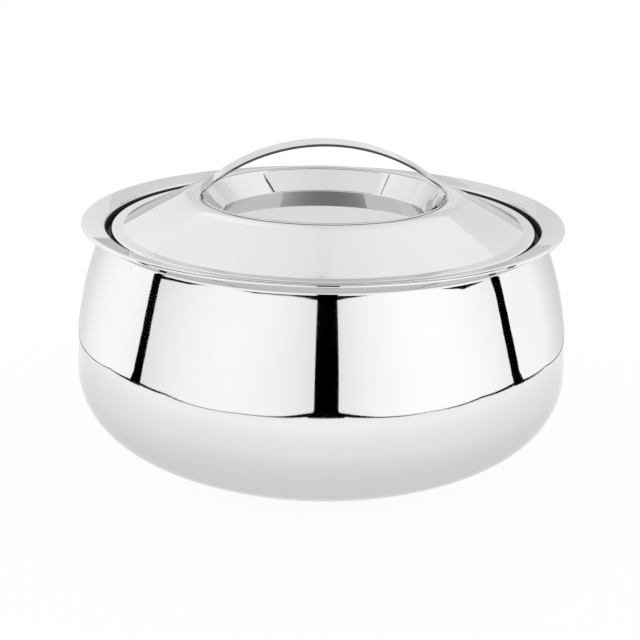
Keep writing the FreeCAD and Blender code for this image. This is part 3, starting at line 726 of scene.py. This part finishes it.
class BuildBowl(bpy.types.Operator):
    """Build the food bowl with its flange and hem"""
    bl_idname = "casserole.bowl"
    bl_label = "Inner bowl"

    def execute(self, context):
        sizes = context.scene.pot_sizes
        bends, mouth_radius, _, seat_level = bowl_bends(sizes)
        outline = sheet_section(bends, sizes.bowl_sheet)
        radius, level = outline[0].T
        mouth_level = bends[2][0][1]
        # Painted shade in the groove under the mouth: these points take the dark tone that stands in for its
        # shadow.
        painted_groove_shade = ((radius < mouth_radius + sizes.bowl_sheet) & (level < mouth_level + GROOVE_MARGIN)
                     & (level > seat_level - GROOVE_MARGIN))
        return drawn_sheet("bowl", outline, "pot", "inner_bowl", painted_groove_shade)


class BuildLidCover(bpy.types.Operator):
    """Build the lid's cover with its ridge and well"""
    bl_idname = "casserole.lid_cover"
    bl_label = "Lid cover"

    def execute(self, context):
        sizes = context.scene.lid_sizes
        bends, base, lid_radius, _, _ = cover_bends(context.scene.pot_sizes, sizes)
        outline = sheet_section(bends, sizes.cover_sheet)
        radius, level = outline[0].T
        # Painted shade in the groove round the lid's edge: these points take the dark tone that stands in for
        # its shadow.
        painted_groove_shade = (radius > lid_radius - sizes.skirt_bend) & (level < base + sizes.skirt_height / 2)
        return drawn_sheet("cover", outline, "lid", "lid_cover", painted_groove_shade)


class BuildLidLiner(bpy.types.Operator):
    """Build the lid's liner"""
    bl_idname = "casserole.lid_liner"
    bl_label = "Lid liner"

    def execute(self, context):
        sizes = context.scene.lid_sizes
        points, normals, on_axis = sheet_section(liner_bends(context.scene.pot_sizes, sizes), sizes.liner_sheet,
                                                 turned_back=True)
        return drawn_sheet("liner", (points[::-1], normals[::-1], on_axis), "lid", "lid_liner")


class BuildHandle(bpy.types.Operator):
    """Build the strap handle with its welded feet"""
    bl_idname = "casserole.handle"
    bl_label = "Strap handle"

    def execute(self, context):
        scene = context.scene
        piece = put_mesh("strap_of_bent_flat_bar",
                         *strap_mesh(scene.pot_sizes, scene.lid_sizes, scene.handle_sizes))
        steel = polished_steel("mopped_stainless_steel_strap", scene.finishes, STRAP_LINES)
        dress(piece, steel, "lid", "lid_handle")
        return {"FINISHED"}


class DressHiddenParts(bpy.types.Operator):
    """Give the foam, the plugs and the base disc their materials"""
    bl_idname = "casserole.hidden_parts"
    bl_label = "Foam, plugs and base disc"

    def execute(self, context):
        looks = context.scene.finishes
        foam, plastic, satin = rigid_foam(looks), plug_plastic(looks), satin_steel(looks)
        for node, material in (("bowl_insulation", foam), ("lid_insulation", foam), ("base_fill_plug", plastic),
                               ("lid_fill_plug", plastic), ("base_disc", satin)):
            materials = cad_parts[node].data.materials
            materials.clear()
            materials.append(material)
        return {"FINISHED"}


# Stage --------------------------------
# The pot stands on a white table inside a tent of cloths, which are seen in reflections only. Screens stand
# round it at the height of its belly, with dark strips for the gaps between them. Higher up there are pale
# walls at the back and the sides and a dark front, under a roof of four cloths with a gap along its middle.
#
# Places are in millimetres, before the view's turn. A brightness is three numbers: at a cloth's first end, at
# its last end, and what is added in the middle. Without them a strip is black.

VIEW_TURN = math.radians(-4.0)
CAMERA_DISTANCE = 590.0 * MM
CAMERA_PITCH = math.radians(19.009)
CAMERA_ROLL = math.radians(0.937)
CAMERA_TARGET = (-0.782 * MM, 0.0, 60.799 * MM)
CAMERA_LENS = 67.062
SENSOR = 36.0

# Heights of the roof, of the upper walls' ends, and of the ends of the black strips under the screens' feet.
# The last is half the table's side, in metres.
ROOF = 900.0
UPPER = (175.0, ROOF)
FOOT_DEPTH = -1.0
FLOOR_REACH = 4.0

# Each screen round the pot: name, brightness, and its line from end to end as (x, y, height of the screen's
# foot, height of its top).
SCREENS = (
    ("front_left", 1.2, 1.18, 0.36,
     ((-337, -97, 5, 181), (-319, -183, 3, 209), (-256, -254, 1.2, 230), (-184, -332, 1.2, 250),
      (-125, -367, 2, 261), (-88, -383, 4, 266), (-18, -425, 10, 277), (15, -426, 12, 277))),
    ("front_right", 1.18, 1.38, 0.37,
     ((15, -426, 12, 278), (48, -425, 10, 278), (130, -371, 3, 266), (244, -286, 1.2, 245), (327, -166, 3, 201),
      (336, -64, 5, 178))),
    ("right", 1.54, 1.52, 0.0, ((337, -64, 5, 257), (295, 58, 1.2, 257))),
    ("back_right", 1.52, 0.96, 0.0, ((295, 58, 1.2, 257), (200, 140, 1, 257))),
    ("back_middle", 0.96, 0.78, 0.0, ((200, 140, 1, 257), (100, 205, 1, 257), (0, 235, 1, 257))),
    ("back_left", 0.75, 1.41, -0.255, ((0, 235, 1, 257), (-130, 190, 1, 257), (-254, 89, 1, 257))),
    ("left", 1.41, 1.42, 0.17, ((-254, 89, 1, 257), (-324, 5, 1.2, 257), (-337, -97, 5, 257))),
)
# The gaps between the screens, and a dark slot in front of the back screens: name, two edges as (x, y, z), and
# brightness. The edges of the gaps at the sides are given as x and y at the same eight heights.
SIDE_HEIGHTS = (0, 20, 52, 88, 125, 152, 170, 215)
SIDE_GAPS = (
    ("gap_left", (-331,) * 8, (-103, -109, -116, -119, -115, -109, -103, -92),
     (-331,) * 8, (-68, -82, -90, -93, -88, -81, -74, -60)),
    ("gap_right", (331,) * 8, (-59, -70, -79, -84, -81, -75, -74, -72),
     (321, 327, 329, 330, 330, 329, 328, 325), (-24, -43, -52, -57, -54, -47, -41, -32)),
)
GAPS = (
    *((name, tuple(zip(x, y, SIDE_HEIGHTS)), tuple(zip(other_x, other_y, SIDE_HEIGHTS)))
      for name, x, y, other_x, other_y in SIDE_GAPS),
    ("gap_middle", ((-34, -406, 0), (-17, -419, 14), (-15, -421, 290)),
     ((64, -405, 0), (48, -417, 14), (48, -420, 290))),
    ("back_slot", ((-60, 209, 212), (-30, 220, 210.5), (0, 231, 209), (30, 220, 210), (60, 209, 211.5)),
     ((-60, 209, 217), (-30, 220, 217), (0, 231, 217), (30, 220, 217), (60, 209, 217)), 0.8, 0.7, -0.68),
)
# Walls between two heights: the paler upper halves of the back screens, with a pale part in their middle, and
# the walls over the screens, up to the roof.
WALLS = (
    ("high_left", (140, 258), 0.8, 1.5, 0.24, ((0, 233), (-128, 188), (-252, 88), (-321, 4))),
    ("high_right", (140, 258), 0.86, 1.56, 0.06, ((0, 233), (99, 203), (198, 138), (293, 57), (334, -58))),
    ("back_high", (150, 200), 1.05, 1.15, 0.05, ((-110, 192), (0, 231), (110, 192))),
    ("upper_left", UPPER, 1.25, 1.25, 0.0, ((-1000, 20), (-1000, 700))),
    ("upper_back_left", UPPER, 1.2, 1.4, 0.0, ((-1000, 700), (-430, 640))),
    ("upper_mid_left", UPPER, 1.4, 1.14, 0.2, ((-430, 640), (-300, 545), (0, 510))),
    ("upper_mid_right", UPPER, 1.14, 1.4, 0.06, ((0, 510), (300, 545), (430, 640))),
    ("upper_back_right", UPPER, 1.4, 1.2, 0.0, ((430, 640), (1000, 700))),
    ("upper_right", UPPER, 1.28, 1.25, 0.0, ((1000, 700), (1000, 20))),
    ("dark_front", UPPER, 0.0, 0.0, 0.0,
     ((1000, 20), (1000, -150), (600, -900), (-600, -900), (-1000, -150), (-1000, 20))),
)
# The roof's cloths: name, brightness, the y of the straight far edge, and the edge along the gap as (x, y).
CLOTHS = (
    ("front_left", 1.28, 1.14, 0.0, -900,
     ((-1000, 0), (-530, -6), (-487, -35), (-370, -140), (-276, -200), (0, -262))),
    ("front_right", 1.14, 1.35, 0.0, -900,
     ((0, -262), (276, -200), (370, -140), (487, -35), (530, -6), (1000, 0))),
    ("back_left", 1.25, 1.25, 0.13, 700, ((-1000, 0), (-530, -6), (-455, 60), (-300, 200), (0, 240))),
    ("back_right", 1.25, 1.3, 0.13, 700, ((0, 240), (300, 200), (455, 60), (530, -6), (1000, 0))),
)
# Dark seams of the roof, and the dark room and a curved grey beam that are seen through its gap: name, height
# from the roof, brightness, and two edges.
BEYOND = (
    ("seam_right", -2.0, 0.0, 0.0, 0.0, ((578, 12), (538, -95)), ((590, 6), (550, -98))),
    ("seam_left", -2.0, 0.0, 0.0, 0.0, ((-595, 78), (-668, 40)), ((-590, 66), (-664, 28))),
    ("dark_room", 8.0, 0.03, 0.03, 0.0, ((-1000, -900), (1000, -900)), ((-1000, 700), (1000, 700))),
    ("beam", 4.0, 0.8, 0.98, -0.47,
     ((-262, 200), (-200, 130), (-130, 85), (-65, 58), (0, 50), (65, 58), (130, 85), (200, 130), (250, 190)),
     ((-255, 260), (-195, 192), (-125, 148), (-62, 122), (0, 112), (62, 122), (125, 148), (195, 192),
      (245, 250))),
)
# The table in the steel, with painted light and shadow: the distances from the pot's middle between which its
# brightness changes, its brightness at both, and that light's share of what the steel sees. Last, the camera's
# share of plain white.
FLOOR_NEAR, FLOOR_FAR = 125 * MM, 310 * MM
FLOOR_NEAR_GLOW, FLOOR_FAR_GLOW = 1.12, 1.57
FLOOR_GLOSSY_SHARE = 0.75
FLOOR_CAMERA_SHARE = 0.94


def turned(points):
    """Points in millimetres, before the view's turn, as metres in the scene."""
    c, s = math.cos(VIEW_TURN), math.sin(VIEW_TURN)
    x, y, z = np.array(points, float).T * MM
    return np.stack([c * x - s * y, s * x + c * y, z], 1)


def glow(name, first, last, middle):
    """Glow of lit cloth over a width u from 0 to 1: first + (last - first) u + middle 4 u (1 - u)."""
    material, tree = new_material(name)
    place = add(tree, "UVMap")
    across = add(tree, "SeparateXYZ", {"Vector": place.outputs["UV"]}).outputs["X"]
    hump = calc(tree, "MULTIPLY", across, calc(tree, "SUBTRACT", 1.0, across))
    slope = calc(tree, "MULTIPLY_ADD", across, last - first, first)
    strength = calc(tree, "MULTIPLY_ADD", hump, 4 * middle, slope)
    material.cycles.emission_sampling = "NONE"
    return finish_material(material, "Emission", {"Strength": strength})


def cloth(name, edge, other, first=0.0, last=0.0, middle=0.0):
    """A strip of cloth between two edges with as many points, u from 0 to 1 along the first edge.

    Only reflections see it. Each pair of neighbours on one edge makes a face with the pair across from it.
    """
    edge, other = turned(edge), turned(other)
    reach = distances(edge)
    faces = grid_faces(2, len(edge), False, False)
    across = np.tile(reach / reach[-1], 2)[faces.ravel()]
    mesh = bpy.data.meshes.new(name)
    mesh.from_pydata(np.concatenate([edge, other]).tolist(), [], faces.tolist())
    places = np.stack([across, np.zeros(len(across))], 1)
    mesh.uv_layers.new(name="UVMap").data.foreach_set("uv", places.ravel())
    mesh.materials.append(glow("cloth_" + name, first, last, middle))
    piece = link(name, mesh)
    piece.visible_camera = piece.visible_diffuse = piece.visible_shadow = piece.visible_volume_scatter = False


def at_height(line, height):
    """A line of (x, y, ...) points, all at one height."""
    return [(x, y, height) for x, y, *_ in line]


def floor_material(stage):
    """Matt white table: it takes the soft light and the pot's shadow, and the camera sees it mostly white.

    The steel sees a painted glow on it, brighter away from the pot and dimmer close under it, where it stands
    for the pot's shadow.
    """
    material, tree = new_material("matt_white_table")
    rays = add(tree, "LightPath")
    place = add(tree, "TexCoord")
    away = add(tree, "VectorMath", {0: place.outputs["Object"]}, operation="LENGTH")
    lit = add(tree, "MapRange", {"Value": away, "From Min": FLOOR_NEAR, "From Max": FLOOR_FAR,
                                 "To Min": FLOOR_NEAR_GLOW, "To Max": FLOOR_FAR_GLOW})
    matt = add(tree, "BsdfDiffuse", {"Color": rgba(stage.floor)})
    white = add(tree, "Emission", {"Strength": 1.0})
    # Painted light: the glow that the steel sees on the table, dimmer near the pot as a painted shadow.
    painted_glow = add(tree, "Emission", {"Strength": lit})
    share = calc(tree, "MULTIPLY", rays.outputs["Is Camera Ray"], FLOOR_CAMERA_SHARE)
    mixed = add(tree, "MixShader", {0: share, 1: matt, 2: white})
    glossy = calc(tree, "MULTIPLY", rays.outputs["Is Glossy Ray"], FLOOR_GLOSSY_SHARE)
    material.cycles.emission_sampling = "NONE"
    return finish_material(material, "MixShader", {0: glossy, 1: mixed, 2: painted_glow})


class BuildStage(bpy.types.Operator):
    """Build the studio: table, reflected cloths, white surroundings and camera"""
    bl_idname = "casserole.stage"
    bl_label = "Studio"

    def execute(self, context):
        scene = context.scene
        stage = scene.stage_setting
        self.floor(stage)
        self.tent(stage)
        self.world(scene, stage)
        self.camera(scene)
        scene.view_settings.view_transform = "Standard"
        return {"FINISHED"}

    def floor(self, stage):
        mesh = bpy.data.meshes.new("table")
        corners = [(x * FLOOR_REACH, y * FLOOR_REACH, 0) for x, y in ((-1, -1), (1, -1), (1, 1), (-1, 1))]
        mesh.from_pydata(corners, [], [[0, 1, 2, 3]])
        mesh.materials.append(floor_material(stage))
        table = link("table", mesh)

    def tent(self, stage):
        def hang(name, edge, other, *brightness):
            cloth(name, edge, other, *(stage.panels * value for value in brightness))

        for name, *brightness, line in SCREENS:
            foot = [(x, y, low) for x, y, low, _ in line]
            hang("screen_" + name, foot, [(x, y, high) for x, y, _, high in line], *brightness)
            cloth("foot_" + name, at_height(line, FOOT_DEPTH), foot)
        for name, edge, other, *brightness in GAPS:
            hang(name, edge, other, *brightness)
        for name, heights, *brightness, line in WALLS:
            hang(name, *(at_height(line, height) for height in heights), *brightness)
        for name, *brightness, far, line in CLOTHS:
            hang("roof_" + name, [(x, far, ROOF) for x, _ in line], at_height(line, ROOF), *brightness)
        for name, above, *brightness, edge, other in BEYOND:
            hang(name, at_height(edge, ROOF + above), at_height(other, ROOF + above), *brightness)

    def world(self, scene, stage):
        world, tree = with_tree(bpy.data.worlds.new("white_room"))
        rays = add(tree, "LightPath")
        seen = calc(tree, "MAXIMUM", rays.outputs["Is Camera Ray"], rays.outputs["Is Glossy Ray"])
        seen = calc(tree, "MAXIMUM", seen, rays.outputs["Is Transmission Ray"])
        plain = rgba([1.0] * 3)
        lamp = add(tree, "Background", {"Color": plain, "Strength": stage.ambient})
        white = add(tree, "Background", {"Color": plain, "Strength": 1.0})
        mixed = add(tree, "MixShader", {0: seen, 1: lamp, 2: white})
        add(tree, "OutputWorld", {"Surface": mixed})
        scene.world = world

    def camera(self, scene):
        """Camera in front, above its target: a look-at frame, rolled about its axis, turned with the view."""
        data = bpy.data.cameras.new("view_camera")
        data.sensor_width = SENSOR
        data.lens = CAMERA_LENS
        data.clip_start = 0.01
        data.clip_end = 50.0
        camera = link("view_camera", data)
        camera.matrix_world = (
            Matrix.Rotation(VIEW_TURN, 4, "Z") @ Matrix.Translation(CAMERA_TARGET)
            @ Matrix.Rotation(math.pi / 2 - CAMERA_PITCH, 4, "X")
            @ Matrix.Translation((0.0, 0.0, CAMERA_DISTANCE)) @ Matrix.Rotation(CAMERA_ROLL, 4, "Z"))
        scene.camera = camera


class CasserolePanel(bpy.types.Panel):
    """Lists the casserole's pieces and their settings"""
    bl_idname = "VIEW3D_PT_casserole"
    bl_label = "Casserole"
    bl_space_type = "VIEW_3D"
    bl_region_type = "UI"
    bl_category = "Casserole"

    def draw(self, context):
        for operator in OPERATORS:
            self.layout.operator(operator.bl_idname)
        for name in GROUPS:
            settings = getattr(context.scene, name)
            box = self.layout.box()
            box.label(text=name.replace("_", " ").capitalize())
            for key in settings.__annotations__:
                box.prop(settings, key)


GROUPS = {"pot_sizes": PotSizes, "lid_sizes": LidSizes, "handle_sizes": HandleSizes, "finishes": Finishes,
          "stage_setting": StageSetting}
OPERATORS = (BuildShell, BuildBowl, BuildLidCover, BuildLidLiner, BuildHandle, DressHiddenParts, BuildStage)


def register():
    for cls in (*GROUPS.values(), *OPERATORS, CasserolePanel):
        bpy.utils.register_class(cls)
    for name, cls in GROUPS.items():
        setattr(bpy.types.Scene, name, bpy.props.PointerProperty(type=cls))


def unregister():
    for name in GROUPS:
        delattr(bpy.types.Scene, name)
    for cls in (CasserolePanel, *OPERATORS[::-1], *list(GROUPS.values())[::-1]):
        bpy.utils.unregister_class(cls)


def main():
    register()
    for operator in OPERATORS:
        group, name = operator.bl_idname.split(".")
        getattr(getattr(bpy.ops, group), name)()


if __name__ == "__main__":
    main()
